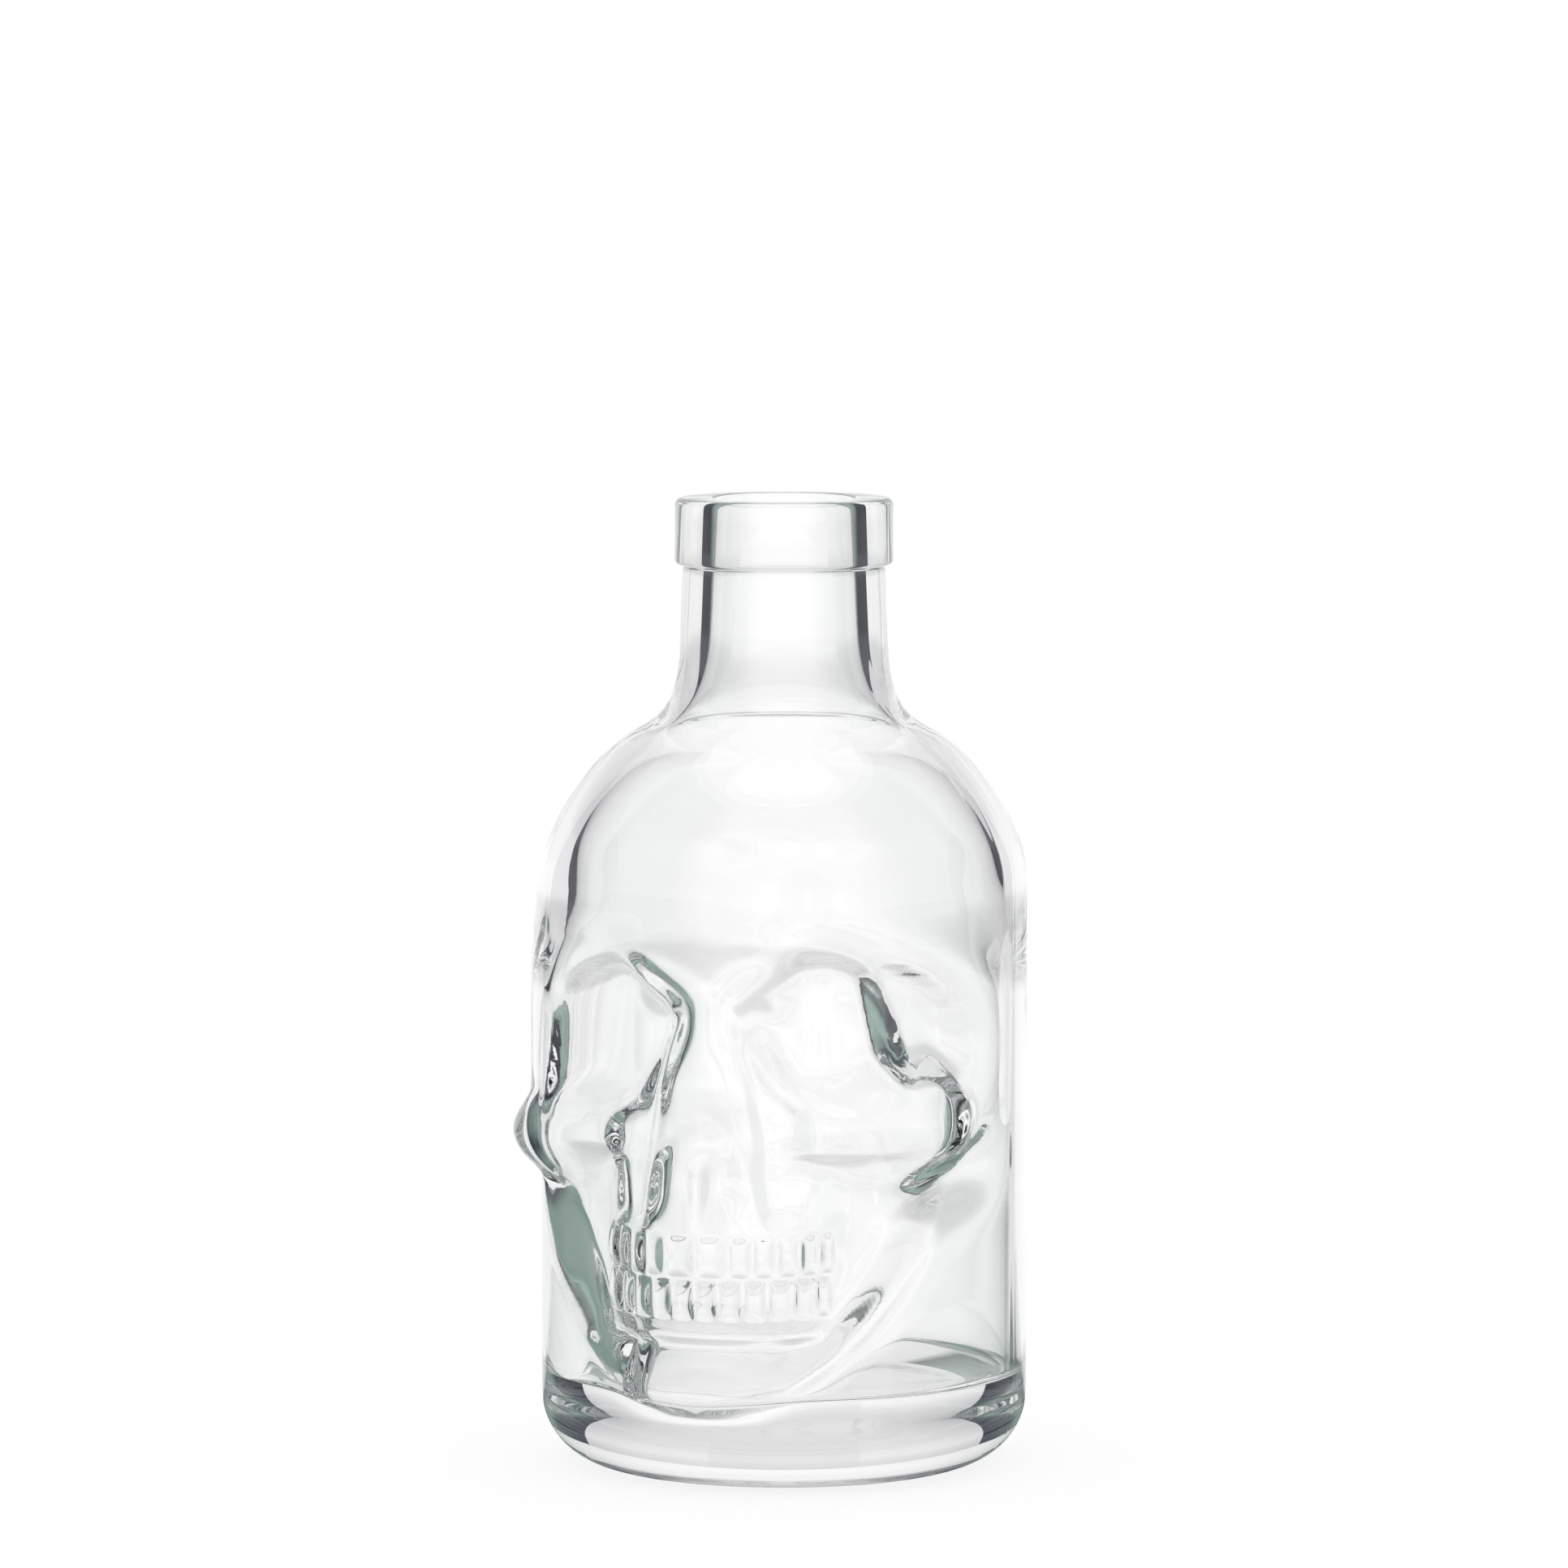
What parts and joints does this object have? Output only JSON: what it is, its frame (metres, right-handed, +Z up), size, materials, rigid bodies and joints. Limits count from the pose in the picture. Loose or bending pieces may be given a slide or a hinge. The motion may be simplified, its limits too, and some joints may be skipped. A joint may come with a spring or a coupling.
{
  "type": "skull bottle",
  "caption": "Small round clear glass bottle with a skull moulded in relief on the front of its body and a short neck with an open ringed mouth.",
  "frame": {"origin": "centre of the flat base, on the surface the bottle stands on", "axes": "+Z up the bottle's axis to the mouth, -Y the way the skull looks, +X to the right of a person who faces the skull"},
  "size_m": [0.0642, 0.0672, 0.1272],
  "materials": {
    "clear_glass": "clear, fire-polished, faint green in thick places"
  },
  "bodies": {
    "root": {"glass_bottle": "clear_glass"}
  },
  "joints": []
}
